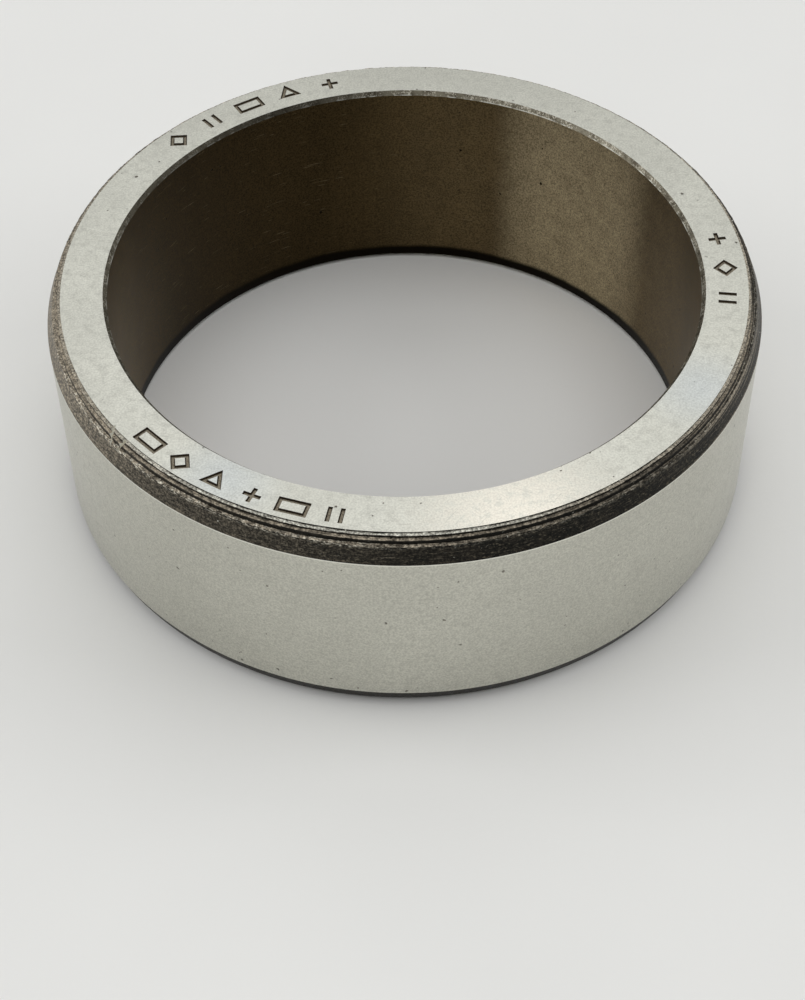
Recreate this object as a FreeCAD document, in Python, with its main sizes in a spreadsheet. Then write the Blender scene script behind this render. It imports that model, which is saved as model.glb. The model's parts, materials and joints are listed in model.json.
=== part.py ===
"""Separable inner ring of a cylindrical roller bearing, 50 mm bore by 60.4 mm raceway by 20 mm wide.

One piece of hardened steel. The raceway, the bore and both faces are ground. The corners between them
are left as turned: a shallow lead-in that guides the rollers onto the raceway, then small turned steps.
The upper face carries three groups of plain geometric stamps. Millimetres, +Z up along the bore's axis,
origin at the centre of the plain lower face.
"""
import FreeCAD, Part
import os
import Sketcher
from FreeCAD import Placement, Rotation, Vector

# Alias, value and meaning of every driving dimension. Lengths are in mm and angles in degrees.
SIZES = [
    ("bore_diameter", 50.0, "seat on the shaft"),
    ("raceway_diameter", 60.4, "ground track of the rollers"),
    ("ring_width", 20.0, "face to face"),
    ("bore_chamfer_radial", 0.31, "both ends of the bore, along the face"),
    ("bore_chamfer_axial", 0.37, "both ends of the bore, along the wall"),
    ("corner_radial", 1.34, "upper corner, from the raceway in to the face"),
    ("corner_axial", 2.34, "upper corner, from the face down to the raceway"),
    ("first_step_depth", 0.13, "upper corner, drop from the face"),
    ("second_step_depth", 0.25, "upper corner, drop from the first tread"),
    ("third_step_depth", 0.45, "upper corner, drop from the second tread"),
    ("step_tread", 0.26, "upper corner, width of each turned tread"),
    ("foot_lead_radial", 0.59, "lower corner, lead-in measured along the face"),
    ("foot_lead_axial", 1.63, "lower corner, lead-in measured along the wall"),
    ("foot_radius", 0.85, "lower corner, rounding into the plain face"),
    ("stamp_length", 2.6, "stamps, size along the circle they stand on"),
    ("stamp_height", 1.5, "stamps, size towards the bore"),
    ("stamp_stroke", 0.36, "stamps, width of each groove"),
    ("stamp_depth", 0.16, "stamps, depth of each groove"),
    ("stamp_overrun", 0.50, "stamps, how far the cutters stand above the face"),
    ("bar_spacing", 1.00, "stamps, one bar of a pair to the other, centre to centre"),
    ("diamond_reach", 1.05, "stamps, centre of a diamond to its corners"),
    ("triangle_reach", 1.20, "stamps, centre of a triangle to its corners"),
    ("rear_circle", 27.25, "rear stamps, radius of their circle"),
    ("rear_first", 137.8, "rear stamps, azimuth of the first"),
    ("rear_pitch", -8.4, "rear stamps, angle from one to the next"),
    ("side_circle", 27.1, "side stamps, radius of their circle"),
    ("side_first", 8.3, "side stamps, azimuth of the first"),
    ("side_pitch", -7.9, "side stamps, angle from one to the next"),
    ("front_circle", 27.6, "front stamps, radius of their circle"),
    ("front_first", -136.3, "front stamps, azimuth of the first"),
    ("front_pitch", 7.0, "front stamps, angle from one to the next"),
]

# The ring's half section, one (radius, height) pair of sheet expressions for each corner, run
# from the foot of the bore up the wall, out over the upper corner's steps and down the raceway.
FACE_EDGE = "Sizes.raceway_diameter / 2 - Sizes.corner_radial"
FIRST_TREAD = "Sizes.ring_width - Sizes.first_step_depth"
SECOND_TREAD = FIRST_TREAD + " - Sizes.second_step_depth"
THIRD_TREAD = SECOND_TREAD + " - Sizes.third_step_depth"
CHAMFER_EDGE = "Sizes.bore_diameter / 2 + Sizes.bore_chamfer_radial"
FOOT_EDGE = "Sizes.raceway_diameter / 2 - Sizes.foot_lead_radial"
SECTION = [
    ("Sizes.bore_diameter / 2", "Sizes.bore_chamfer_axial"),
    ("Sizes.bore_diameter / 2", "Sizes.ring_width - Sizes.bore_chamfer_axial"),
    (CHAMFER_EDGE, "Sizes.ring_width"),
    (FACE_EDGE, "Sizes.ring_width"),
    (FACE_EDGE, FIRST_TREAD),
    (FACE_EDGE + " + Sizes.step_tread", FIRST_TREAD),
    (FACE_EDGE + " + Sizes.step_tread", SECOND_TREAD),
    (FACE_EDGE + " + 2 * Sizes.step_tread", SECOND_TREAD),
    (FACE_EDGE + " + 2 * Sizes.step_tread", THIRD_TREAD),
    (FACE_EDGE + " + 3 * Sizes.step_tread", THIRD_TREAD),
    ("Sizes.raceway_diameter / 2", "Sizes.ring_width - Sizes.corner_axial"),
    ("Sizes.raceway_diameter / 2", "Sizes.foot_lead_axial"),
    (FOOT_EDGE, "0"),
    (CHAMFER_EDGE, "0"),
]

# Stamps of each group in their order along the circle, and the turn that stands them on it:
# -90 puts the foot towards the bore, +90 puts it towards the raceway.
STAMP_GROUPS = [
    ("rear", ["diamond", "bars", "block", "triangle", "cross"], -90),
    ("side", ["cross", "diamond", "bars"], -90),
    ("front", ["block", "diamond", "triangle", "cross", "block", "bars"], 90),
]

POINT_TOLERANCE = 0.01  # mm, for finding an edge by its place


def fill_sheet(doc):
    """Put the driving dimensions in a spreadsheet, one alias to a row."""
    sheet = doc.addObject("Spreadsheet::Sheet", "Sizes")
    for row, (alias, value, meaning) in enumerate(SIZES, start=1):
        sheet.set("A%d" % row, alias)
        sheet.set("B%d" % row, str(value))
        sheet.set("C%d" % row, meaning)
        sheet.setAlias("B%d" % row, alias)
    doc.recompute()


def origin_feature(body, role):
    """Return the body's own origin plane or axis with this role."""
    return next(item for item in body.Origin.OriginFeatures if item.Role == role)


def draw_section(body):
    """Draw the half section as a closed outline, each corner dimensioned from the axes."""
    sketch = body.newObject("Sketcher::SketchObject", "ring_section")
    sketch.AttachmentSupport = [(origin_feature(body, "XZ_Plane"), "")]
    sketch.MapMode = "FlatFace"
    evaluate = body.Document.Sizes.evalExpression
    corners = [Vector(evaluate(radius), evaluate(height), 0) for radius, height in SECTION]
    for start, end in zip(corners, corners[1:] + corners[:1]):
        sketch.addGeometry(Part.LineSegment(start, end), False)
    count = len(corners)
    for line in range(count):
        sketch.addConstraint(Sketcher.Constraint("Coincident", line, 2, (line + 1) % count, 1))
    for line, (radius, height) in enumerate(SECTION):
        across = sketch.addConstraint(
            Sketcher.Constraint("DistanceX", -1, 1, line, 1, corners[line].x))
        sketch.setExpression("Constraints[%d]" % across, radius)
        if height == "0":
            sketch.addConstraint(Sketcher.Constraint("PointOnObject", line, 1, -1))
            continue
        upward = sketch.addConstraint(
            Sketcher.Constraint("DistanceY", -1, 1, line, 1, corners[line].y))
        sketch.setExpression("Constraints[%d]" % upward, height)
    return sketch


def edge_at(shape, radius, height):
    """Return the name of the circular edge with this radius at this height."""
    for number, edge in enumerate(shape.Edges, start=1):
        curve = edge.Curve
        if not isinstance(curve, Part.Circle):
            continue
        if abs(curve.Radius - radius) < POINT_TOLERANCE and abs(curve.Center.z - height) < POINT_TOLERANCE:
            return "Edge%d" % number
    raise RuntimeError("no circular edge of radius %.3f at height %.3f" % (radius, height))


def make_blank(doc):
    """Turn the ring about the bore's axis and round its foot."""
    body = doc.addObject("PartDesign::Body", "ring_blank")
    section = draw_section(body)
    turned = body.newObject("PartDesign::Revolution", "turned_ring")
    turned.Profile = section
    turned.ReferenceAxis = (origin_feature(body, "Z_Axis"), [""])
    turned.Angle = 360.0
    doc.recompute()
    foot = body.newObject("PartDesign::Fillet", "foot_rounding")
    foot_edge = doc.Sizes.raceway_diameter / 2 - doc.Sizes.foot_lead_radial
    foot.Base = (turned, [edge_at(turned.Shape, foot_edge, 0.0)])
    foot.setExpression("Radius", "Sizes.foot_radius")
    doc.recompute()
    return body


def make_box(doc, name, length, width, along="0"):
    """Make a cutter box centred on the stamp, or shifted along it."""
    box = doc.addObject("Part::Box", name)
    box.setExpression("Length", length)
    box.setExpression("Width", width)
    box.setExpression("Height", "Sizes.stamp_depth + Sizes.stamp_overrun")
    box.setExpression("Placement.Base.x", "%s - (%s) / 2" % (along, length))
    box.setExpression("Placement.Base.y", "-(%s) / 2" % width)
    return box


def make_prism(doc, name, sides, circumradius):
    """Make a cutter prism centred on the stamp, one corner pointing away from its foot."""
    prism = doc.addObject("Part::Prism", name)
    prism.Polygon = sides
    prism.setExpression("Circumradius", circumradius)
    prism.setExpression("Height", "Sizes.stamp_depth + Sizes.stamp_overrun")
    prism.Placement = Placement(Vector(), Rotation(Vector(0, 0, 1), 90))
    return prism


def join(doc, name, kind, first, second):
    """Combine two cutters with a boolean of this kind."""
    joined = doc.addObject(kind, name)
    joined.Base = first
    joined.Tool = second
    return joined


def block_cutter(doc, name):
    """A rectangle drawn as an outline."""
    outer = make_box(doc, name + "_outer", "Sizes.stamp_length", "Sizes.stamp_height")
    inner = make_box(doc, name + "_inner", "Sizes.stamp_length - 2 * Sizes.stamp_stroke",
                     "Sizes.stamp_height - 2 * Sizes.stamp_stroke")
    return join(doc, name, "Part::Cut", outer, inner)


def bars_cutter(doc, name):
    """Two short parallel bars."""
    left = make_box(doc, name + "_left", "Sizes.stamp_stroke", "Sizes.stamp_height",
                    along="-Sizes.bar_spacing / 2")
    right = make_box(doc, name + "_right", "Sizes.stamp_stroke", "Sizes.stamp_height",
                     along="Sizes.bar_spacing / 2")
    return join(doc, name, "Part::Fuse", left, right)


def cross_cutter(doc, name):
    """A plain cross."""
    long_bar = make_box(doc, name + "_long", "Sizes.stamp_height", "Sizes.stamp_stroke")
    short_bar = make_box(doc, name + "_short", "Sizes.stamp_stroke", "Sizes.stamp_height")
    return join(doc, name, "Part::Fuse", long_bar, short_bar)


def diamond_cutter(doc, name):
    """A square on its corner, drawn as an outline."""
    outer = make_prism(doc, name + "_outer", 4, "Sizes.diamond_reach")
    inner = make_prism(doc, name + "_inner", 4, "Sizes.diamond_reach - Sizes.stamp_stroke * sqrt(2)")
    return join(doc, name, "Part::Cut", outer, inner)


def triangle_cutter(doc, name):
    """A triangle drawn as an outline."""
    outer = make_prism(doc, name + "_outer", 3, "Sizes.triangle_reach")
    inner = make_prism(doc, name + "_inner", 3, "Sizes.triangle_reach - 2 * Sizes.stamp_stroke")
    return join(doc, name, "Part::Cut", outer, inner)


CUTTERS = {
    "block": block_cutter,
    "bars": bars_cutter,
    "cross": cross_cutter,
    "diamond": diamond_cutter,
    "triangle": triangle_cutter,
}


def make_stamps(doc):
    """Place every stamp's cutter on its circle and gather them."""
    cutters = []
    for group, figures, turn in STAMP_GROUPS:
        for index, figure in enumerate(figures):
            cutter = CUTTERS[figure](doc, "%s_%d_%s" % (group, index + 1, figure))
            azimuth = "(Sizes.%s_first + %d * Sizes.%s_pitch)" % (group, index, group)
            cutter.setExpression("Placement.Base.x", "Sizes.%s_circle * cos(%s)" % (group, azimuth))
            cutter.setExpression("Placement.Base.y", "Sizes.%s_circle * sin(%s)" % (group, azimuth))
            cutter.setExpression("Placement.Base.z", "Sizes.ring_width - Sizes.stamp_depth")
            cutter.setExpression("Placement.Rotation.Angle", "%s + %d" % (azimuth, turn))
            cutters.append(cutter)
    stamps = doc.addObject("Part::MultiFuse", "stamps")
    stamps.Shapes = cutters
    return stamps


def check_document(doc, nodes):
    """Stop unless every object computed and every node is one valid solid."""
    failed = [item.Name for item in doc.Objects if "Invalid" in item.State or "Error" in item.State]
    if failed:
        raise RuntimeError("failed objects: " + ", ".join(failed))
    for node in nodes:
        if node.Shape.isNull() or not node.Shape.isValid() or len(node.Shape.Solids) != 1:
            raise RuntimeError("bad shape: " + node.Label)


def main():
    doc = FreeCAD.newDocument("raceway_ring")
    fill_sheet(doc)
    blank = make_blank(doc)
    ring = doc.addObject("Part::Cut", "inner_ring")
    ring.Label = "inner_ring"
    ring.Base = blank
    ring.Tool = make_stamps(doc)
    ring.Placement = Placement()
    doc.recompute()
    check_document(doc, [ring])

    stamped_away = blank.Shape.Volume - ring.Shape.Volume
    if stamped_away <= 0:
        raise RuntimeError("the stamps cut nothing")
    print("blank %.1f mm3, stamps %.2f mm3" % (blank.Shape.Volume, stamped_away))

    os.makedirs("parts", exist_ok=True)
    ring.Shape.exportStep("parts/%s.step" % ring.Label)


main()
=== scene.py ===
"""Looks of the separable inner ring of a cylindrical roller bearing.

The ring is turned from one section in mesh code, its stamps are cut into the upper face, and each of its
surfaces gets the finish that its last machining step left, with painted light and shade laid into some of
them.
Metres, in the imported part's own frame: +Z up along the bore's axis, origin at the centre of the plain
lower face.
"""
import json
import math
from collections import namedtuple

import bmesh
import bpy
from bpy.props import FloatProperty, FloatVectorProperty, IntProperty, PointerProperty, StringProperty
from mathutils import Matrix, Vector, noise


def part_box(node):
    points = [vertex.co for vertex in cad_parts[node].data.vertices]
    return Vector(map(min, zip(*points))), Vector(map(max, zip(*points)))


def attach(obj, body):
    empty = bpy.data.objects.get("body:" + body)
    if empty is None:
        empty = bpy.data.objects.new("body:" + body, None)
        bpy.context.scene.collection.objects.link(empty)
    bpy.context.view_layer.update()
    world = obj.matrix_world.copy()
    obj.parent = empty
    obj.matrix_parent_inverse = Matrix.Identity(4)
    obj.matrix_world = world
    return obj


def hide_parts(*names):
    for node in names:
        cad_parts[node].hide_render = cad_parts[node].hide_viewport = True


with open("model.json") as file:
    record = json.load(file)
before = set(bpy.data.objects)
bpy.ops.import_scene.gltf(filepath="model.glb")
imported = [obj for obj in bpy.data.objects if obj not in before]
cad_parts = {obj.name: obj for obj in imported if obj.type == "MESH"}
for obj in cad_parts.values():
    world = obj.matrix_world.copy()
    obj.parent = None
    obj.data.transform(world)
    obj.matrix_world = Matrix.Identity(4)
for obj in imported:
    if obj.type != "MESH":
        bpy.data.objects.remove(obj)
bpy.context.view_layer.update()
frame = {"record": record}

bl_info = {
    "name": "Bearing inner ring",
    "version": (1, 0, 0),
    "blender": (4, 5, 0),
    "location": "View3D > Sidebar > Inner ring",
    "description": "Turned, ground and stamped inner ring of a cylindrical roller bearing",
    "category": "Mesh",
}

MM = 0.001
RING_NODE = "inner_ring"
RING_LOW, RING_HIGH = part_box(RING_NODE)
MOUNTS = {mount["name"]: mount for mount in frame["record"]["mounts"]}


def wall(mount):
    """Return the radius, lowest height and highest height of a round mount's wall, in metres."""
    middle = mount["pos_m"][2]
    half = mount["dims"]["length_mm"] * MM / 2
    return mount["dims"]["r_mm"] * MM, middle - half, middle + half


BORE_RADIUS, BORE_LOW, BORE_HIGH = wall(MOUNTS["shaft_bore"])
RACE_RADIUS, RACE_LOW, RACE_HIGH = wall(MOUNTS["raceway"])


class RingSizes(bpy.types.PropertyGroup):
    """Sizes of the ring's corners and stamps."""

    segments: IntProperty(
        name="Segments", description="Facets round the ring", default=2160, min=360)
    bore_chamfer: FloatProperty(
        name="Bore chamfer", description="Width of the bore's chamfer along the face",
        default=0.31 * MM, unit="LENGTH")
    corner_width: FloatProperty(
        name="Corner width", description="Upper corner, from the raceway in to the face",
        default=1.34 * MM, unit="LENGTH")
    step_depths: FloatVectorProperty(
        name="Step depths", description="Drop to each turned tread of the upper corner",
        default=(0.13 * MM, 0.25 * MM, 0.45 * MM), unit="LENGTH")
    step_tread: FloatProperty(
        name="Step tread", description="Width of each turned tread", default=0.26 * MM, unit="LENGTH")
    step_rounding: FloatProperty(
        name="Step rounding", description="Rounding of the steps' edges", default=0.035 * MM,
        unit="LENGTH")
    step_wander: FloatProperty(
        name="Step wander", description="How far a turned step strays from true", default=0.035 * MM,
        unit="LENGTH")
    torn_azimuth: FloatProperty(
        name="Torn azimuth", description="Where the last turned step is torn most",
        default=math.radians(-128.0), subtype="ANGLE")
    foot_lead: FloatProperty(
        name="Foot lead-in", description="Lower corner's lead-in along the face",
        default=0.59 * MM, unit="LENGTH")
    foot_radius: FloatProperty(
        name="Foot radius", description="Rounding of the lower corner into the plain face",
        default=0.85 * MM, unit="LENGTH")
    stamp_length: FloatProperty(
        name="Stamp length", description="Size of a stamp along its circle", default=2.6 * MM,
        unit="LENGTH")
    stamp_height: FloatProperty(
        name="Stamp height", description="Size of a stamp towards the bore", default=1.5 * MM,
        unit="LENGTH")
    stamp_stroke: FloatProperty(
        name="Stamp stroke", description="Width of a stamped groove at the face",
        default=0.36 * MM, unit="LENGTH")
    stamp_depth: FloatProperty(
        name="Stamp depth", description="Depth of a stamped groove", default=0.16 * MM, unit="LENGTH")
    bar_spacing: FloatProperty(
        name="Bar spacing", description="One bar of a stamped pair to the other", default=1.0 * MM,
        unit="LENGTH")
    diamond_reach: FloatProperty(
        name="Diamond reach", description="Centre of a stamped diamond to its corners",
        default=1.05 * MM, unit="LENGTH")
    triangle_reach: FloatProperty(
        name="Triangle reach", description="Centre of a stamped triangle to its corners",
        default=1.2 * MM, unit="LENGTH")


class RingColours(bpy.types.PropertyGroup):
    """Colours of the ring's finishes, as sRGB hex values."""

    # Ground face: also the colour of the painted highlight along the bore chamfer's lower edge.
    face: StringProperty(
        name="Ground face", description="Surface-ground steel of the two faces", default="CFCFC5")
    # The colour of a painted highlight on the face's front right.
    face_highlight: StringProperty(
        name="Face film", description="Thin dried oil film on the face", default="EFEADD")
    face_cool: StringProperty(
        name="Face, cool", description="Bluish haze on the face", default="C3C9CB")
    race: StringProperty(
        name="Raceway", description="Ground steel of the raceway", default="CCCBC0")
    # The colour of a painted highlight along the raceway's upper rim.
    rim: StringProperty(
        name="Raceway rim", description="Burnished upper rim of the raceway", default="EDECE2")
    scale: StringProperty(
        name="Furnace scale", description="Black scale of the unground corners", default="161613")
    # Brown scale: also the colour of the painted shade on the bore's chamfer.
    scale_brown: StringProperty(
        name="Brown scale", description="Thinner, browner furnace scale", default="24211C")
    scale_worn: StringProperty(
        name="Worn scale", description="Scale worn thin over its grains", default="5B5549")
    # Rubbed scale: real rubbing on the treads, and also the colour of painted light on the corner's left
    # side and of painted glints on its right-side ridges.
    rubbed: StringProperty(
        name="Rubbed scale", description="Ridges where the scale has rubbed thin", default="A39988")
    torn: StringProperty(
        name="Torn metal", description="Fresh metal on torn and knocked edges", default="D0CBBC")
    edge: StringProperty(
        name="Bore edge", description="Grey scale on the bore's chamfer", default="807B6C")
    # Bore: a dark olive brown that is a painted dark reflection.
    bore: StringProperty(
        name="Bore", description="Bore darkened by old oil", default="5F4E31")
    # Paler bore colour: a painted reflection on the bore, and its hairline scratches.
    bore_reflection_and_scratches: StringProperty(
        name="Bore, thin film", description="Bore where the oil film is thin", default="AFA081")
    stamp: StringProperty(
        name="Stamp", description="Walls of the stamped grooves", default="453C31")
    stamp_floor: StringProperty(
        name="Stamp floor", description="Floor of the stamped grooves", default="8C8474")
    floor: StringProperty(
        name="Floor", description="Pale studio floor", default="E8E8E6")
    backdrop: StringProperty(
        name="Backdrop", description="Even light from all round", default="F4F4F2")


class StageSettings(bpy.types.PropertyGroup):
    """Camera and lights of the stage."""

    camera_place: FloatVectorProperty(
        name="Camera place", description="Where the camera stands",
        default=(0.0, -0.12846, 0.13472), subtype="TRANSLATION")
    camera_tilt: FloatProperty(
        name="Camera tilt", description="Tilt up from straight down", default=math.radians(41.87),
        subtype="ANGLE")
    camera_pan: FloatProperty(
        name="Camera pan", description="Turn about the vertical", default=math.radians(0.18),
        subtype="ANGLE")
    camera_roll: FloatProperty(
        name="Camera roll", description="Turn about the line of sight", default=math.radians(-0.84),
        subtype="ANGLE")
    camera_lens: FloatProperty(
        name="Lens", description="Focal length in millimetres", default=73.12, unit="CAMERA")
    world_strength: FloatProperty(
        name="World strength", description="Even light from all round", default=0.32)
    top_power: FloatProperty(
        name="Top light", description="Power of the softbox overhead", default=5.0, unit="POWER")
    rear_power: FloatProperty(
        name="Rear light", description="Power of the softbox above and behind", default=2.2,
        unit="POWER")
    front_power: FloatProperty(
        name="Front light", description="Power of the softbox above and in front", default=1.3,
        unit="POWER")
    left_power: FloatProperty(
        name="Left light", description="Power of the softbox at the left", default=3.7, unit="POWER")
    right_power: FloatProperty(
        name="Right light", description="Power of the softbox at the right", default=3.3,
        unit="POWER")


def linear(hex_colour):
    """Turn an sRGB hex value into the linear colour that a shader takes."""
    channels = [int(hex_colour[start:start + 2], 16) / 255 for start in (0, 2, 4)]
    return [c / 12.92 if c <= 0.04045 else ((c + 0.055) / 1.055) ** 2.4 for c in channels] + [1.0]


# ---------------------------------------------------------------- finishes

GRIT = 0.16  # grinding grit's grain in millimetres, three times its real size so that it shows
FINISHES = ["face", "race", "corner", "bore", "bore_edge", "stamp", "nick"]

# Each kind of node: its type name, its settings, the inputs that it takes in order, and its output.
NODES = {
    "place": ("ShaderNodeTexCoord", {}, (), "Object"),
    "facet": ("ShaderNodeNewGeometry", {}, (), "True Normal"),
    "upward": ("ShaderNodeSeparateXYZ", {}, (0,), "Z"),
    "lift": ("ShaderNodeCombineXYZ", {}, ("Z",), 0),
    "redness": ("ShaderNodeSeparateColor", {}, (0,), "Red"),
    "turn": ("ShaderNodeVectorRotate", {"rotation_type": "Z_AXIS"}, ("Vector", "Angle"), 0),
    "stretch": ("ShaderNodeVectorMath", {"operation": "MULTIPLY"}, (0, 1), "Vector"),
    "stretch_and_shift": ("ShaderNodeVectorMath", {"operation": "MULTIPLY_ADD"}, (0, 1, 2), "Vector"),
    "direction": ("ShaderNodeVectorMath", {"operation": "NORMALIZE"}, (0,), "Vector"),
    "length": ("ShaderNodeVectorMath", {"operation": "LENGTH"}, (0,), "Value"),
    "distance": ("ShaderNodeVectorMath", {"operation": "DISTANCE"}, (0, 1), "Value"),
    "cosine": ("ShaderNodeVectorMath", {"operation": "DOT_PRODUCT"}, (0, 1), "Value"),
    "times": ("ShaderNodeMath", {"operation": "MULTIPLY"}, (0, 1), 0),
    "plus": ("ShaderNodeMath", {"operation": "ADD"}, (0, 1), 0),
    "minus": ("ShaderNodeMath", {"operation": "SUBTRACT"}, (0, 1), 0),
    "larger": ("ShaderNodeMath", {"operation": "MAXIMUM"}, (0, 1), 0),
    "ramp": ("ShaderNodeMapRange", {"interpolation_type": "SMOOTHSTEP"},
             ("Value", "From Min", "From Max", "To Min", "To Max"), 0),
    "noise": ("ShaderNodeTexNoise", {}, ("Vector", "Scale", "Detail", "Roughness"), "Fac"),
    "cells": ("ShaderNodeTexVoronoi", {}, ("Vector", "Scale"), "Distance"),
    "blend": ("ShaderNodeMix", {"data_type": "RGBA"}, (0, 6, 7), 2),
    "bump": ("ShaderNodeBump", {}, ("Height", "Distance", "Normal"), 0),
    "shader": ("ShaderNodeBsdfPrincipled", {}, ("Base Color", "Metallic", "Roughness", "Normal"), 0),
    "surface": ("ShaderNodeOutputMaterial", {}, ("Surface",), None),
}


def darker(colour, share):
    """Return a linear colour with this share of its light."""
    return [share * channel for channel in colour[:3]] + [1.0]


class Surface:
    """A material being built: its nodes, and the ring's own coordinates in millimetres."""

    def __init__(self, name, metallic):
        self.material = bpy.data.materials.new(name)
        self.material.use_nodes = True
        self.tree = self.material.node_tree
        self.tree.nodes.clear()
        self.metallic = metallic
        self.mm = self.add("stretch", self.add("place"), (1 / MM,) * 3)
        self.height = self.add("upward", self.mm)
        flat = self.add("stretch", self.mm, (1.0, 1.0, 0.0))
        self.outward = self.add("direction", flat)
        self.radius = self.add("length", flat)

    def add(self, kind, *inputs):
        """Add a node of one of the kinds in NODES and return its output.

        Each input is a value, another node's output to link from, or None to leave it alone.
        """
        type_name, settings, sockets, output = NODES[kind]
        node = self.tree.nodes.new(type_name)
        node.location = (200 * len(self.tree.nodes), 0)
        for name, value in settings.items():
            setattr(node, name, value)
        for socket, value in zip(sockets, inputs):
            if isinstance(value, bpy.types.NodeSocket):
                self.tree.links.new(value, node.inputs[socket])
            elif value is not None:
                node.inputs[socket].default_value = value
        return None if output is None else node.outputs[output]

    def around(self, length, width):
        """Return coordinates one unit long round the ring and one wide across it, for streaks."""
        across = self.add("times", self.add("minus", self.height, self.radius), 1 / width)
        turns = (RACE_RADIUS / MM / length,) * 3
        return self.add("stretch_and_shift", self.outward, turns, self.add("lift", across))

    def along(self, degrees, length, width):
        """Return coordinates one unit long in a direction across the ring, and one wide, for scratches."""
        turned = self.add("turn", self.mm, math.radians(degrees))
        return self.add("stretch", turned, (1 / length, 1 / width, 1 / length))

    def grained(self, colour, grain, low, high):
        """Return the colour with its light varied by a grain, between these two shares of it."""
        return self.add("stretch", colour, self.add("ramp", grain, 0.3, 0.7, low, high))

    def near(self, azimuth, radius, height, reach):
        """Return 1 at a place on the ring, in degrees and millimetres, falling to 0 at this reach."""
        turn = math.radians(azimuth)
        place = (radius * math.cos(turn), radius * math.sin(turn), height)
        return self.add("ramp", self.add("distance", self.mm, place), 0.0, reach, 1.0, 0.0)

    def facing(self, azimuth, from_degrees, to_degrees):
        """Return 1 where the ring's azimuth is near this one, falling to 0 between two angles from it."""
        turn = math.radians(azimuth)
        cosine = self.add("cosine", self.outward, (math.cos(turn), math.sin(turn), 0.0))
        edges = [math.cos(math.radians(degrees)) for degrees in (to_degrees, from_degrees)]
        return self.add("ramp", cosine, *edges)

    def specks(self, spacing, radius, share):
        """Return 1 inside scattered specks: one to a cell this far apart, on this share of the cells."""
        wavy = self.add("noise", self.mm, 1 / (2 * radius)).node.outputs["Color"]
        bent = self.add("stretch_and_shift", wavy, (2 * radius,) * 3, self.mm)
        distance = self.add("cells", bent, 1 / spacing)
        inside = self.add("ramp", distance, 0.6 * radius / spacing, radius / spacing, 1.0, 0.0)
        chance = self.add("redness", distance.node.outputs["Color"])
        return self.add("times", inside, self.add("ramp", chance, 1.0 - share, 1.0 - share + 0.01))

    def finish(self, colour, roughness, heights):
        """Join the colour, the roughness and a bump from (height map, depth in millimetres) pairs."""
        normal = None
        for height, depth in heights:
            normal = self.add("bump", height, depth * MM, normal)
        self.add("surface", self.add("shader", colour, self.metallic, roughness, normal))
        return self.material


def ground_face_steel(colours):
    """Surface-ground hardened steel: a soft satin grey with a fine grain, faint hairlines, dark pits and a
    painted highlight at the front right.
    """
    steel = Surface("ground_face_steel", metallic=1.0)
    add = steel.add
    clouds = add("noise", steel.mm, 1 / 6.0, 2.0, 0.55)
    mottle = add("noise", steel.mm, 1 / 0.8, 5.0, 0.7)
    grit = add("noise", steel.mm, 1 / GRIT, 2.0, 0.6)
    hairs = add("plus", add("ramp", add("noise", steel.along(24, 5.0, 0.1), 1.0, 1.0, 0.55), 0.71, 0.77),
                add("ramp", add("noise", steel.along(-52, 3.5, 0.09), 1.0, 1.0, 0.55), 0.72, 0.78))
    pits = add("plus", steel.specks(1.3, 0.15, 0.16), steel.specks(0.8, 0.09, 0.13))

    bright = linear(colours.face)
    top = RING_HIGH.z / MM
    clouded = add("blend", add("ramp", clouds, 0.35, 0.65), bright, darker(bright, 0.94))
    mottled = add("blend", add("ramp", mottle, 0.45, 0.7), clouded, darker(bright, 0.85))
    # Painted highlight: a paler patch on the face towards the front right, broken up by the mottle.
    painted_highlight_patch = add("times", steel.near(-73, 29.6, top, 11.5), add("ramp", mottle, 0.36, 0.54, 0.35, 1.0))
    highlighted_face = add("blend", painted_highlight_patch, mottled, linear(colours.face_highlight))
    cool = add("plus", steel.near(-121, 27.0, top, 6.0), steel.near(-31, 27.5, top, 6.0))
    cooled = add("blend", add("times", cool, 0.6), highlighted_face, linear(colours.face_cool))
    scratched = add("blend", add("times", hairs, 0.5), cooled, darker(bright, 0.75))
    gritty = steel.grained(scratched, grit, 0.86, 1.08)
    colour = add("blend", add("times", pits, 0.85), gritty, linear(colours.stamp))
    roughness = add("ramp", mottle, 0.3, 0.7, 0.3, 0.38)
    relief = [(mottle, 0.002), (grit, 0.0015), (hairs, -0.001), (pits, -0.03)]
    return steel.finish(colour, roughness, relief)


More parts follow.
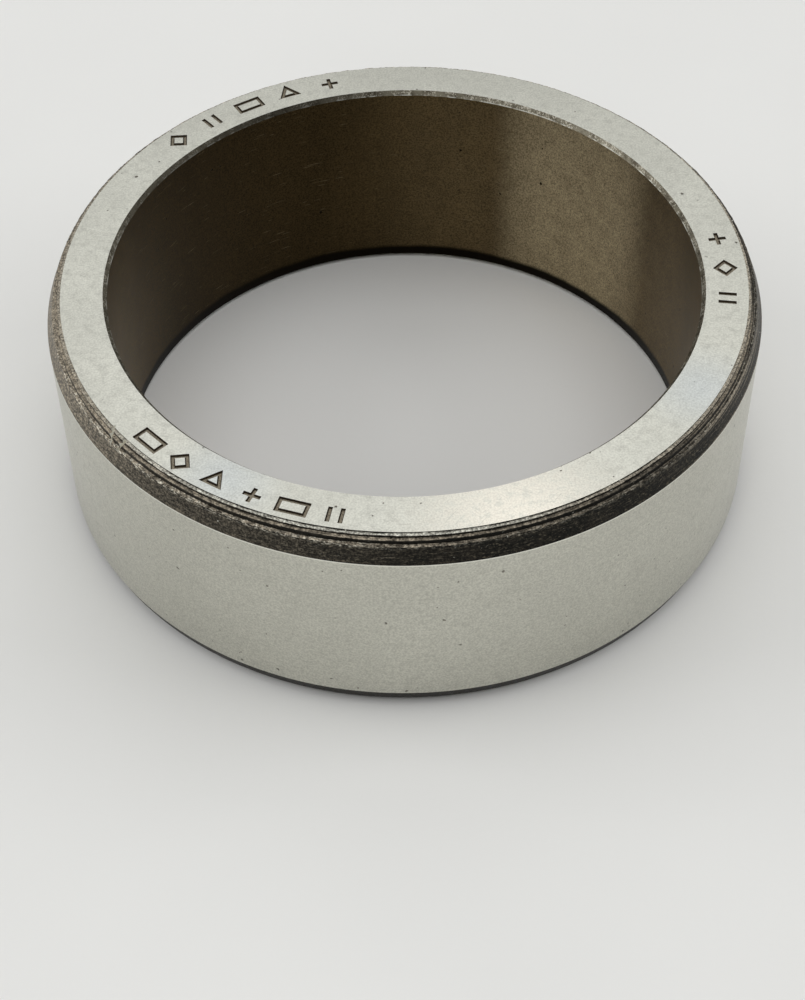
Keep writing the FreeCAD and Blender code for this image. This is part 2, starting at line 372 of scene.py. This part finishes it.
def ground_race_steel(colours):
    """Centreless-ground raceway: an even satin, a fine grain, a few specks and a painted highlight along
    its upper rim.

    The real grinding lines are under 0.05 mm apart, and are drawn 0.2 mm apart so that they show.
    """
    steel = Surface("ground_race_steel", metallic=1.0)
    add = steel.add
    lines = add("noise", steel.around(7.0, 0.2), 1.0, 2.0, 0.55)
    clouds = add("noise", steel.mm, 1 / 7.0, 2.0, 0.55)
    mottle = add("noise", steel.mm, 1 / 0.7, 5.0, 0.7)
    grit = add("noise", steel.mm, 1 / GRIT, 2.0, 0.6)
    specks = add("plus", steel.specks(1.5, 0.15, 0.2), steel.specks(0.8, 0.09, 0.18))
    smudges = add("ramp", add("noise", steel.mm, 1 / 2.2, 4.0, 0.65), 0.6, 0.72)
    # Painted highlight: a thin bright line along the raceway's upper rim.
    rim = add("ramp", steel.height, RACE_HIGH / MM - 0.16, RACE_HIGH / MM - 0.08)

    bright = linear(colours.race)
    clouded = add("blend", add("ramp", clouds, 0.35, 0.65), bright, darker(bright, 0.96))
    mottled = add("blend", add("ramp", mottle, 0.45, 0.7), clouded, darker(bright, 0.92))
    smudged = add("blend", add("times", smudges, 0.5), mottled, darker(bright, 0.78))
    lined = add("blend", add("ramp", lines, 0.5, 0.75, 0.0, 0.3), smudged, darker(bright, 0.85))
    gritty = steel.grained(lined, grit, 0.81, 1.08)
    rimmed = add("blend", add("times", rim, 0.8), gritty, linear(colours.rim))
    colour = add("blend", add("times", specks, 0.7), rimmed, linear(colours.stamp))
    roughness = add("ramp", mottle, 0.3, 0.75, 0.29, 0.36)
    return steel.finish(colour, roughness, [(lines, 0.0006), (grit, 0.0012), (specks, -0.02)])


def scaled_corner_steel(sizes, colours):
    """As-turned corner under furnace scale: charcoal, black in its roots, rubbed to grey on its treads,
    with painted light on its left side and painted glints on its ridges at the right.
    """
    steel = Surface("scaled_corner_steel", metallic=0.8)
    add = steel.add
    patches = add("noise", steel.mm, 1 / 2.2, 3.0, 0.55)
    grain = add("noise", steel.around(0.45, 0.2), 1.0, 3.0, 0.75)
    streaks = add("noise", steel.around(2.6, 0.1), 1.0, 3.0, 0.55)
    # Rubbed ridges, shown only on the right side as painted glints.
    right_ridge_glints = add("times", add("ramp", add("noise", steel.around(30.0, 0.24), 1.0, 1.0, 0.55), 0.5, 0.58),
                 steel.facing(0, 20, 52))
    wear = add("plus", steel.facing(-125, 22, 92), 0.08)
    shreds = add("noise", steel.around(0.45, 0.14), 1.0, 3.0, 0.7)
    top = RING_HIGH.z / MM
    upright = add("upward", add("facet"))
    ragged = add("plus", upright, add("ramp", streaks, 0.3, 0.7, -0.25, 0.25))
    tread = add("times", add("ramp", ragged, 0.5, 0.95), add("ramp", grain, 0.3, 0.6, 0.35, 1.0))
    highest = add("times", tread, add("ramp", steel.height, top - 0.24, top - 0.16))
    upper = add("times", highest, add("plus", steel.facing(-104, 14, 48), 0.25))
    rubbed = add("larger", add("times", tread, wear), highest)
    root = add("ramp", upright, 0.08, 0.3, 1.0, 0.0)
    below = add("minus", top - sum(sizes.step_depths) / MM, steel.height)
    edge = add("times", add("ramp", below, 0.02, 0.34, 1.0, 0.0), add("ramp", below, -0.05, 0.0))
    tearing = add("plus", steel.facing(math.degrees(sizes.torn_azimuth), 14, 42), 0.3)
    torn = add("times", add("times", edge, tearing), add("ramp", shreds, 0.5, 0.62))
    # Painted light: the corner's left side painted lighter, towards the rubbed colour; the foot's share is
    # thinner scale.
    painted_left_light = add("plus", add("times", steel.facing(-174, 8, 46), 0.65),
                    add("times", steel.facing(-148, 8, 64), 0.32))
    foot_worn = add("ramp", steel.height, RACE_LOW / MM + 1.0, RACE_LOW / MM, 0.0, 0.35)
    left_light_and_worn_foot = add("larger", painted_left_light, foot_worn)
    scuffs = add("ramp", add("noise", steel.around(0.55, 0.06), 1.0, 1.0, 0.55), 0.76, 0.8)
    bright_bits = add("plus", steel.specks(1.1, 0.09, 0.14), add("times", scuffs, 0.8))

    black = linear(colours.scale)
    scale = add("blend", add("ramp", patches, 0.4, 0.65), black, linear(colours.scale_brown))
    mealy = add("blend", add("ramp", grain, 0.5, 0.72), scale, linear(colours.scale_worn))
    streaked = add("blend", add("ramp", streaks, 0.5, 0.75, 0.0, 0.35), mealy, linear(colours.scale_worn))
    lightened = add("blend", add("times", left_light_and_worn_foot, add("ramp", grain, 0.38, 0.62, 0.25, 1.0)), streaked,
                  linear(colours.rubbed))
    ridge_glinted = add("blend", add("times", right_ridge_glints, 0.65), lightened, linear(colours.rubbed))
    worn = add("blend", rubbed, ridge_glinted, linear(colours.rubbed))
    polished = add("blend", add("times", upper, 0.75), worn, linear(colours.face))
    rooted = add("blend", add("times", root, 0.8), polished, darker(black, 0.3))
    torn_open = add("blend", torn, rooted, linear(colours.torn))
    gritty = steel.grained(torn_open, add("noise", steel.mm, 1 / GRIT, 2.0, 0.55), 0.4, 1.5)
    colour = add("blend", bright_bits, gritty, linear(colours.face))
    roughness = add("ramp", grain, 0.3, 0.7, 0.4, 0.6)
    return steel.finish(colour, roughness, [(streaks, 0.012), (grain, 0.03)])


def oiled_bore_steel(colours):
    """Bore painted dark olive brown as a painted dark reflection: a painted reflection paler towards the
    right-back, painted shade at the back-left, and a painted shadow black at the foot.
    """
    steel = Surface("oiled_bore_steel", metallic=1.0)
    add = steel.add
    grain = add("noise", steel.mm, 1 / GRIT, 3.0, 0.7)
    mottle = add("noise", steel.mm, 1 / 1.6, 4.0, 0.6)
    clouds = add("noise", add("stretch", steel.mm, (1.0, 1.0, 0.35)), 1 / 5.0, 2.0, 0.55)
    hairs = add("ramp", add("noise", steel.around(2.5, 0.09), 1.0, 1.0, 0.55), 0.71, 0.77)
    pits = add("plus", steel.specks(1.9, 0.17, 0.15), steel.specks(1.1, 0.1, 0.12))
    # Painted reflection: the bore painted paler towards azimuth 49 and, less, towards 55, 178 and 5
    # degrees.
    painted_reflection_patch = add("times", steel.facing(49, 5, 22), add("ramp", clouds, 0.3, 0.7, 0.85, 1.0))
    beside = add("plus", add("times", steel.facing(55, 5, 58), 0.12),
                 add("times", steel.facing(178, 6, 34), 0.1))
    painted_bore_light = add("plus", painted_reflection_patch, add("plus", beside, add("times", steel.facing(5, 12, 44), 0.08)))
    # Painted shade: the bore darkened towards the back-left.
    painted_back_shade = steel.facing(128, 12, 46)
    # Painted shadow: black up to about 1.1 mm above the bore's foot, fading out by 1.7 mm.
    ragged_height = add("plus", steel.height, add("ramp", clouds, 0.3, 0.7, -0.1, 0.1))
    foot = add("ramp", ragged_height, 1.1, 1.7, 1.0, 0.0)

    # The bore's base colour: a painted dark reflection.
    film = linear(colours.bore)
    clouded = add("blend", add("ramp", clouds, 0.35, 0.65), film, darker(film, 0.8))
    lightened = add("blend", painted_bore_light, clouded, linear(colours.bore_reflection_and_scratches))
    back_shaded = add("blend", add("times", painted_back_shade, 0.75), lightened, darker(film, 0.3))
    mottled = add("blend", add("ramp", mottle, 0.4, 0.7, 0.0, 0.22), back_shaded, darker(film, 0.6))
    gritty = steel.grained(mottled, grain, 0.48, 1.38)
    scratched = add("blend", add("times", hairs, 0.3), gritty, linear(colours.bore_reflection_and_scratches))
    pitted = add("blend", pits, scratched, darker(film, 0.1))
    colour = add("blend", foot, pitted, darker(film, 0.06))
    roughness = add("ramp", grain, 0.3, 0.7, 0.4, 0.52)
    return steel.finish(colour, roughness, [(mottle, 0.003), (grain, 0.008), (pits, -0.02)])


def turned_bore_edge(colours):
    """Turned chamfer of the bore: grey scale with bare sparkling grains, a broken bright line below that is
    a painted highlight, and painted shade at the back-left and the right.
    """
    steel = Surface("turned_bore_edge", metallic=1.0)
    add = steel.add
    grain = add("noise", steel.mm, 1 / 0.16, 3.0, 0.75)
    patches = add("noise", steel.around(1.2, 0.4), 1.0, 3.0, 0.55)
    streaks = add("noise", steel.around(0.9, 0.07), 1.0, 2.0, 0.55)
    bare = add("ramp", add("plus", grain, add("ramp", patches, 0.35, 0.65, -0.06, 0.05)), 0.52, 0.64)
    # Painted highlight: a broken bright line along the chamfer's lower edge.
    rim = add("ramp", steel.height, BORE_HIGH / MM + 0.09, BORE_HIGH / MM + 0.03)
    # Painted shade: the chamfer darkened towards the back-left and, less, towards the right.
    painted_edge_shade = add("plus", steel.facing(134, 12, 54), add("times", steel.facing(26, 8, 30), 0.35))
    dark = linear(colours.scale_brown)
    scale = add("blend", add("ramp", streaks, 0.3, 0.6), linear(colours.scale_worn), linear(colours.edge))
    sparkling = add("blend", bare, scale, linear(colours.torn))
    broken_rim = add("times", rim, add("ramp", patches, 0.45, 0.6, 0.0, 0.9))
    rimmed = add("blend", broken_rim, sparkling, linear(colours.face))
    colour = add("blend", add("times", painted_edge_shade, 0.85), rimmed, darker(dark, 0.8))
    roughness = add("ramp", grain, 0.3, 0.7, 0.32, 0.5)
    return steel.finish(colour, roughness, [(grain, 0.035)])


def stamped_steel(colours):
    """Bottom of a stamped groove: crushed, unground steel with brown dried oil left in its corners."""
    steel = Surface("stamped_steel", metallic=0.9)
    add = steel.add
    grain = add("noise", steel.mm, 1 / 0.14, 3.0, 0.6)
    upright = add("upward", add("facet"))
    floor = add("times", add("ramp", upright, 0.8, 0.98), add("ramp", grain, 0.35, 0.55, 0.35, 1.0))
    colour = add("blend", floor, linear(colours.stamp), linear(colours.stamp_floor))
    roughness = add("ramp", grain, 0.3, 0.7, 0.38, 0.55)
    return steel.finish(colour, roughness, [(grain, 0.015)])


def nicked_steel(colours):
    """Fresh metal in a knock across the corner: pale and crumpled against the dark scale."""
    steel = Surface("nicked_steel", metallic=0.6)
    add = steel.add
    grain = add("noise", steel.mm, 1 / 0.1, 2.0, 0.55)
    colour = add("blend", add("ramp", grain, 0.4, 0.6), linear(colours.face), linear(colours.torn))
    return steel.finish(colour, add("ramp", grain, 0.3, 0.7, 0.32, 0.48), [(grain, 0.02)])


# ---------------------------------------------------------------- the ring's section

LAST_STEP = 3

# One point of the section. stray says how much of the turned steps' wander it takes, step says which
# step's wander it follows, and finish says what the surface is from here to the next point.
Row = namedtuple("Row", "radius height stray step finish")


def true_row(radius, height, finish):
    """A point of the section that grinding has made true."""
    return Row(radius, height, 0.0, 0, finish)


def stepped_corner(sizes):
    """Rows of the upper corner: three turned steps, then the shallow lead-in down to the raceway."""
    rounding = sizes.step_rounding
    radius = RACE_RADIUS - sizes.corner_width
    height = RING_HIGH.z
    rows = [Row(radius, height, 0.3, 1, "corner")]
    for step, depth in enumerate(sizes.step_depths, start=1):
        height -= depth
        rows.append(Row(radius, height + rounding, 0.6, step, "corner"))
        rows.append(Row(radius + rounding, height, 0.6, step, "corner"))
        radius += sizes.step_tread
        rows.append(Row(radius - rounding, height, 1.0, step, "corner"))
        rows.append(Row(radius, height - rounding, 1.0, step, "corner"))
    lead_rows = 9
    drop = height - rounding - RACE_HIGH
    for index in range(1, lead_rows + 1):
        part = index / (lead_rows + 1)
        along = radius + (RACE_RADIUS - radius) * part
        rows.append(Row(along, height - rounding - drop * part, 0.4 * (1.0 - part), 4, "corner"))
    return rows


def foot_corner(sizes):
    """Rows of the lower corner: a shallow lead-in that rounds into the plain face."""
    lean = math.atan2(sizes.foot_lead, RACE_LOW)
    turn = math.pi / 2 - lean
    reach = sizes.foot_radius * math.tan(turn / 2)
    centre_radius = RACE_RADIUS - sizes.foot_lead - reach
    rows = []
    arc_rows = 8
    for index in range(arc_rows + 1):
        angle = lean + turn * index / arc_rows
        radius = centre_radius + sizes.foot_radius * math.cos(angle)
        height = sizes.foot_radius * (1.0 - math.sin(angle))
        rows.append(true_row(radius, height, "face" if index == arc_rows else "corner"))
    return rows


def ring_section(sizes):
    """The closed half section, from the foot of the bore up, over the upper corner and down the raceway."""
    top = RING_HIGH.z
    base = RING_LOW.z
    chamfer_radius = BORE_RADIUS + sizes.bore_chamfer
    half_chamfer = BORE_RADIUS + sizes.bore_chamfer / 2
    support = 0.12 * MM  # from each edge of a straight wall to the row that keeps its shading flat
    rows = [
        true_row(BORE_RADIUS, BORE_LOW, "bore"),
        true_row(BORE_RADIUS, BORE_LOW + support, "bore"),
        true_row(BORE_RADIUS, BORE_HIGH - support, "bore"),
        true_row(BORE_RADIUS, BORE_HIGH, "bore_edge"),
        Row(half_chamfer, (BORE_HIGH + top) / 2, 0.5, 5, "bore_edge"),
        true_row(chamfer_radius, top, "face"),
    ]
    rows += stepped_corner(sizes)
    rows += [
        true_row(RACE_RADIUS, RACE_HIGH, "race"),
        true_row(RACE_RADIUS, RACE_HIGH - support, "race"),
        true_row(RACE_RADIUS, RACE_LOW + support, "race"),
        true_row(RACE_RADIUS, RACE_LOW, "corner"),
    ]
    rows += foot_corner(sizes)
    rows += [
        true_row(chamfer_radius, base, "bore_edge"),
        Row(half_chamfer, (BORE_LOW + base) / 2, 0.5, 6, "bore_edge"),
    ]
    return rows


def wander(angle, step, frequency):
    """Smooth random number in -1 to 1 that closes on itself round the ring."""
    return noise.noise(Vector((math.cos(angle) * frequency, math.sin(angle) * frequency, 7.3 * step)))


def strayed(row, angle, sizes):
    """Radius and height of a section point at this angle, with the turned steps' wander."""
    if row.stray == 0.0:
        return row.radius, row.height
    slow = wander(angle, row.step, 4.0)
    quick = wander(angle, row.step + 10, 45.0)
    ragged = wander(angle, row.step + 20 + row.radius / MM, 160.0)
    reach = sizes.step_wander * row.stray
    if row.step == LAST_STEP:
        away = math.cos(angle - sizes.torn_azimuth)
        reach *= 1.0 + 1.6 * max(away, 0.0) ** 3
    radius = row.radius + reach * (0.9 * slow + 0.5 * quick + 0.5 * ragged)
    height = row.height + reach * (0.8 * quick + 0.6 * ragged)
    return min(radius, RACE_RADIUS), min(height, RING_HIGH.z)


def turn_ring(sizes):
    """Revolve the section into a closed mesh, each strip carrying its finish."""
    rows = ring_section(sizes)
    mesh = bmesh.new()
    loops = []
    for row in rows:
        loop = []
        for index in range(sizes.segments):
            angle = 2 * math.pi * index / sizes.segments
            radius, height = strayed(row, angle, sizes)
            loop.append(mesh.verts.new((radius * math.cos(angle), radius * math.sin(angle), height)))
        loops.append(loop)
    for number, row in enumerate(rows):
        here = loops[number]
        after = loops[(number + 1) % len(rows)]
        finish = FINISHES.index(row.finish)
        for index in range(sizes.segments):
            beside = (index + 1) % sizes.segments
            face = mesh.faces.new((here[index], after[index], after[beside], here[beside]))
            face.material_index = finish
            face.smooth = True
    bmesh.ops.recalc_face_normals(mesh, faces=mesh.faces)
    return mesh


# ---------------------------------------------------------------- stamps

def rectangle(length, height):
    """Corners of a rectangle about the origin."""
    x, y = length / 2, height / 2
    return [(-x, -y), (x, -y), (x, y), (-x, y)]


def polygon(sides, reach):
    """Corners of a regular polygon about the origin, one of them straight up."""
    angles = [math.pi / 2 + 2 * math.pi * side / sides for side in range(sides)]
    return [(reach * math.cos(angle), reach * math.sin(angle)) for angle in angles]


def block_figure(sizes, inset):
    """A rectangle in outline: its outer loop and its inner one."""
    stroke = 2 * sizes.stamp_stroke
    outer = rectangle(sizes.stamp_length - 2 * inset, sizes.stamp_height - 2 * inset)
    inner = rectangle(sizes.stamp_length - stroke + 2 * inset, sizes.stamp_height - stroke + 2 * inset)
    return [(outer, inner)]


def polygon_figure(sizes, inset, sides, reach):
    """A regular polygon in outline."""
    slant = 1 / math.cos(math.pi / sides)
    outer = polygon(sides, reach - inset * slant)
    inner = polygon(sides, reach - (sizes.stamp_stroke - inset) * slant)
    return [(outer, inner)]


def diamond_figure(sizes, inset):
    """A square on its corner, in outline."""
    return polygon_figure(sizes, inset, 4, sizes.diamond_reach)


def triangle_figure(sizes, inset):
    """A triangle in outline."""
    return polygon_figure(sizes, inset, 3, sizes.triangle_reach)


def bars_figure(sizes, inset):
    """Two short parallel bars."""
    bar = rectangle(sizes.stamp_stroke - 2 * inset, sizes.stamp_height - 2 * inset)
    return [([(x + side * sizes.bar_spacing / 2, y) for x, y in bar], None) for side in (-1, 1)]


def cross_figure(sizes, inset):
    """A plain cross, its twelve corners in order."""
    long_arm = sizes.stamp_height / 2 - inset
    half = sizes.stamp_stroke / 2 - inset
    quarter = [(half, long_arm), (half, half), (long_arm, half)]
    loop = []
    for turn in range(4):
        corner_turn = Matrix.Rotation(-turn * math.pi / 2, 2)
        loop += [tuple(corner_turn @ Vector(point)) for point in quarter]
    return [(loop[::-1], None)]


FIGURES = {
    "block": block_figure,
    "diamond": diamond_figure,
    "triangle": triangle_figure,
    "bars": bars_figure,
    "cross": cross_figure,
}

# Radius of each group's circle, azimuth of its first stamp, angle from one to the next, the turn
# that stands the stamps on it, and the figures in their order.
STAMP_GROUPS = [
    (27.25 * MM, 137.8, -8.4, -90, ["diamond", "bars", "block", "triangle", "cross"]),
    (27.1 * MM, 8.3, -7.9, -90, ["cross", "diamond", "bars"]),
    (27.6 * MM, -136.3, 7.0, 90, ["block", "diamond", "triangle", "cross", "block", "bars"]),
]


def add_cutter(mesh, sizes, figure, place):
    """Add one stamp's cutter: walls that lean inward from above the face to the groove's floor."""
    lean = 0.5  # wall's lean, as a share of the depth
    above = 0.3 * MM
    levels = [(above, -above * lean), (-sizes.stamp_depth, sizes.stamp_depth * lean)]
    shapes = [FIGURES[figure](sizes, inset) for _, inset in levels]
    for piece in range(len(shapes[0])):
        rings = []
        for (height, _), shape in zip(levels, shapes):
            for loop in shape[piece]:
                if loop is not None:
                    rings.append([mesh.verts.new(place @ Vector((x, y, height))) for x, y in loop])
        if len(rings) == 2:
            mesh.faces.new(rings[0])
            mesh.faces.new(rings[1][::-1])
            pairs = [(0, 1)]
        else:
            pairs = [(0, 2), (2, 3), (3, 1), (1, 0)]
        for first, second in pairs:
            upper, lower = rings[first], rings[second]
            for index in range(len(upper)):
                beside = (index + 1) % len(upper)
                mesh.faces.new((upper[index], lower[index], lower[beside], upper[beside]))


# Azimuth of each knock across the upper corner, its slant in degrees and its length.
NICKS = [(-142.0, 24, 1.7 * MM), (-139.4, -18, 1.1 * MM)]


def add_nick(mesh, azimuth, slant, length):
    """Add the cutter of one knock: a wedge that lies down the upper corner's slope."""
    half_width = 0.2 * MM
    bite = 0.1 * MM
    above = 0.25 * MM
    middle = Vector((RACE_RADIUS - 0.95 * MM, 0.0, RING_HIGH.z - 0.55 * MM))
    lie = (Matrix.Rotation(math.radians(azimuth), 4, "Z") @ Matrix.Translation(middle)
           @ Matrix.Rotation(math.radians(45), 4, "Y") @ Matrix.Rotation(math.radians(slant), 4, "Z"))
    ends = []
    for x in (-length / 2, length / 2):
        profile = [(x, 0.0, -bite), (x, half_width, above), (x, -half_width, above)]
        ends.append([mesh.verts.new(lie @ Vector(point)) for point in profile])
    faces = [mesh.faces.new(ends[0]), mesh.faces.new(ends[1][::-1])]
    for index in range(3):
        beside = (index + 1) % 3
        faces.append(mesh.faces.new((ends[0][index], ends[1][index], ends[1][beside], ends[0][beside])))
    for face in faces:
        face.material_index = FINISHES.index("nick")


def corner_cutters(sizes):
    """The stamps' cutters, set on their circles, and the knocks', in one mesh."""
    mesh = bmesh.new()
    for circle, first, pitch, turn, figures in STAMP_GROUPS:
        for index, figure in enumerate(figures):
            azimuth = math.radians(first + index * pitch)
            foot = Vector((circle * math.cos(azimuth), circle * math.sin(azimuth), RING_HIGH.z))
            stand = Matrix.Rotation(azimuth + math.radians(turn), 4, "Z")
            add_cutter(mesh, sizes, figure, Matrix.Translation(foot) @ stand)
    for face in mesh.faces:
        face.material_index = FINISHES.index("stamp")
    for azimuth, slant, length in NICKS:
        add_nick(mesh, azimuth, slant, length)
    bmesh.ops.recalc_face_normals(mesh, faces=mesh.faces)
    return mesh


def make_object(name, mesh, materials):
    """Turn a bmesh into an object of the scene with these materials."""
    data = bpy.data.meshes.new(name)
    mesh.to_mesh(data)
    mesh.free()
    for material in materials:
        data.materials.append(material)
    piece = bpy.data.objects.new(name, data)
    bpy.context.scene.collection.objects.link(piece)
    return piece


def cut_corner(ring, cutters):
    """Cut the stamps and the knocks into the ring and drop the cutters."""
    cut = ring.modifiers.new("stamps_and_knocks", "BOOLEAN")
    cut.operation = "DIFFERENCE"
    cut.solver = "EXACT"
    cut.object = cutters
    bpy.context.view_layer.update()
    result = bpy.data.meshes.new_from_object(ring.evaluated_get(bpy.context.evaluated_depsgraph_get()))
    ring.modifiers.clear()
    ring.data = result
    bpy.data.objects.remove(cutters)


def sharpen(ring):
    """Keep each ground surface's own shading: hard where two finishes meet or an edge is steep."""
    ring.data.set_sharp_from_angle(angle=math.radians(40))
    mesh = bmesh.new()
    mesh.from_mesh(ring.data)
    for edge in mesh.edges:
        if len(edge.link_faces) == 2:
            first, second = edge.link_faces
            if first.material_index != second.material_index:
                edge.smooth = False
    mesh.to_mesh(ring.data)
    mesh.free()


class RING_OT_build_ring(bpy.types.Operator):
    """Turn the ring, cut its stamps and give each surface its finish"""

    bl_idname = "ring.build_ring"
    bl_label = "Build inner ring"

    def execute(self, context):
        sizes = context.scene.ring_sizes
        colours = context.scene.ring_colours
        materials = [
            ground_face_steel(colours),
            ground_race_steel(colours),
            scaled_corner_steel(sizes, colours),
            oiled_bore_steel(colours),
            turned_bore_edge(colours),
            stamped_steel(colours),
            nicked_steel(colours),
        ]
        ring = make_object("turned_inner_ring", turn_ring(sizes), materials)
        cutters = make_object("corner_cutters", corner_cutters(sizes), materials)
        before = len(ring.data.polygons)
        cut_corner(ring, cutters)
        if len(ring.data.polygons) <= before:
            raise RuntimeError("the stamps and knocks cut nothing")
        sharpen(ring)
        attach(ring, "root")
        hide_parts(RING_NODE)
        return {"FINISHED"}


# ---------------------------------------------------------------- stage

# Where each softbox hangs, and its width and depth, in metres.
SOFTBOXES = {
    "top": ((0.0, -0.05, 1.2), (1.3, 1.1)),
    "rear": ((0.1, 0.8, 0.95), (1.2, 0.6)),
    "front": ((0.0, -0.95, 0.75), (1.2, 0.6)),
    "left": ((-0.9, 0.1, 0.45), (0.7, 0.7)),
    "right": ((0.9, 0.1, 0.45), (0.7, 0.7)),
}
FLOOR_RADIUS = 3.0
FLOOR_DROP = 0.02 * MM  # keeps the floor just clear of the ring's plain face


def studio_paper(colours):
    """Matt studio paper: a pale, even grey-white with a barely visible tooth."""
    paper = Surface("studio_paper", metallic=0.0)
    add = paper.add
    tooth = add("noise", paper.mm, 1 / 0.6, 3.0, 0.55)
    clouds = add("noise", paper.mm, 1 / 60.0, 3.0, 0.55)
    pale = linear(colours.floor)
    colour = add("blend", add("ramp", clouds, 0.3, 0.7), pale, darker(pale, 0.97))
    return paper.finish(colour, add("ramp", tooth, 0.3, 0.7, 0.85, 0.95), [(tooth, 0.01)])


def add_softbox(name, place, size, power):
    """Hang a softbox at a place, facing the ring."""
    data = bpy.data.lights.new(name, "AREA")
    data.shape = "RECTANGLE"
    data.size, data.size_y = size
    data.energy = power
    light = bpy.data.objects.new(name, data)
    light.location = place
    middle = (RING_LOW + RING_HIGH) / 2
    light.rotation_euler = (middle - light.location).to_track_quat("-Z", "Y").to_euler()
    bpy.context.scene.collection.objects.link(light)


class RING_OT_build_stage(bpy.types.Operator):
    """Lay the floor, hang the lights and stand the camera"""

    bl_idname = "ring.build_stage"
    bl_label = "Build stage"

    def execute(self, context):
        scene = context.scene
        stage = scene.ring_stage
        colours = scene.ring_colours
        floor_mesh = bmesh.new()
        bmesh.ops.create_circle(floor_mesh, cap_ends=True, segments=96, radius=FLOOR_RADIUS)
        floor = make_object("studio_floor", floor_mesh, [studio_paper(colours)])
        floor.location.z = -FLOOR_DROP

        world = bpy.data.worlds.new("studio_world")
        world.use_nodes = True
        backdrop = world.node_tree.nodes["Background"]
        backdrop.inputs["Color"].default_value = linear(colours.backdrop)
        backdrop.inputs["Strength"].default_value = stage.world_strength
        scene.world = world

        for name, (place, size) in SOFTBOXES.items():
            add_softbox(name + "_softbox", place, size, getattr(stage, name + "_power"))

        data = bpy.data.cameras.new("camera")
        data.lens = stage.camera_lens
        data.clip_start = 0.01
        camera = bpy.data.objects.new("camera", data)
        turn = (Matrix.Rotation(stage.camera_pan, 4, "Z") @ Matrix.Rotation(stage.camera_tilt, 4, "X")
                @ Matrix.Rotation(stage.camera_roll, 4, "Z"))
        camera.matrix_world = Matrix.Translation(stage.camera_place) @ turn
        scene.collection.objects.link(camera)
        scene.camera = camera
        scene.view_settings.view_transform = "Standard"
        return {"FINISHED"}


class RING_PT_panel(bpy.types.Panel):
    """Sidebar panel with the ring's sizes, colours and builders"""

    bl_idname = "RING_PT_panel"
    bl_label = "Inner ring"
    bl_space_type = "VIEW_3D"
    bl_region_type = "UI"
    bl_category = "Inner ring"

    def draw(self, context):
        layout = self.layout
        for group in (context.scene.ring_sizes, context.scene.ring_colours, context.scene.ring_stage):
            box = layout.box()
            for name in group.__annotations__:
                box.prop(group, name)
        layout.operator(RING_OT_build_ring.bl_idname)
        layout.operator(RING_OT_build_stage.bl_idname)


CLASSES = (RingSizes, RingColours, StageSettings, RING_OT_build_ring, RING_OT_build_stage, RING_PT_panel)


def register():
    for item in CLASSES:
        bpy.utils.register_class(item)
    bpy.types.Scene.ring_sizes = PointerProperty(type=RingSizes)
    bpy.types.Scene.ring_colours = PointerProperty(type=RingColours)
    bpy.types.Scene.ring_stage = PointerProperty(type=StageSettings)


def unregister():
    del bpy.types.Scene.ring_stage
    del bpy.types.Scene.ring_colours
    del bpy.types.Scene.ring_sizes
    for item in reversed(CLASSES):
        bpy.utils.unregister_class(item)


def main():
    register()
    bpy.ops.ring.build_ring()
    bpy.ops.ring.build_stage()


if __name__ == "__main__":
    main()
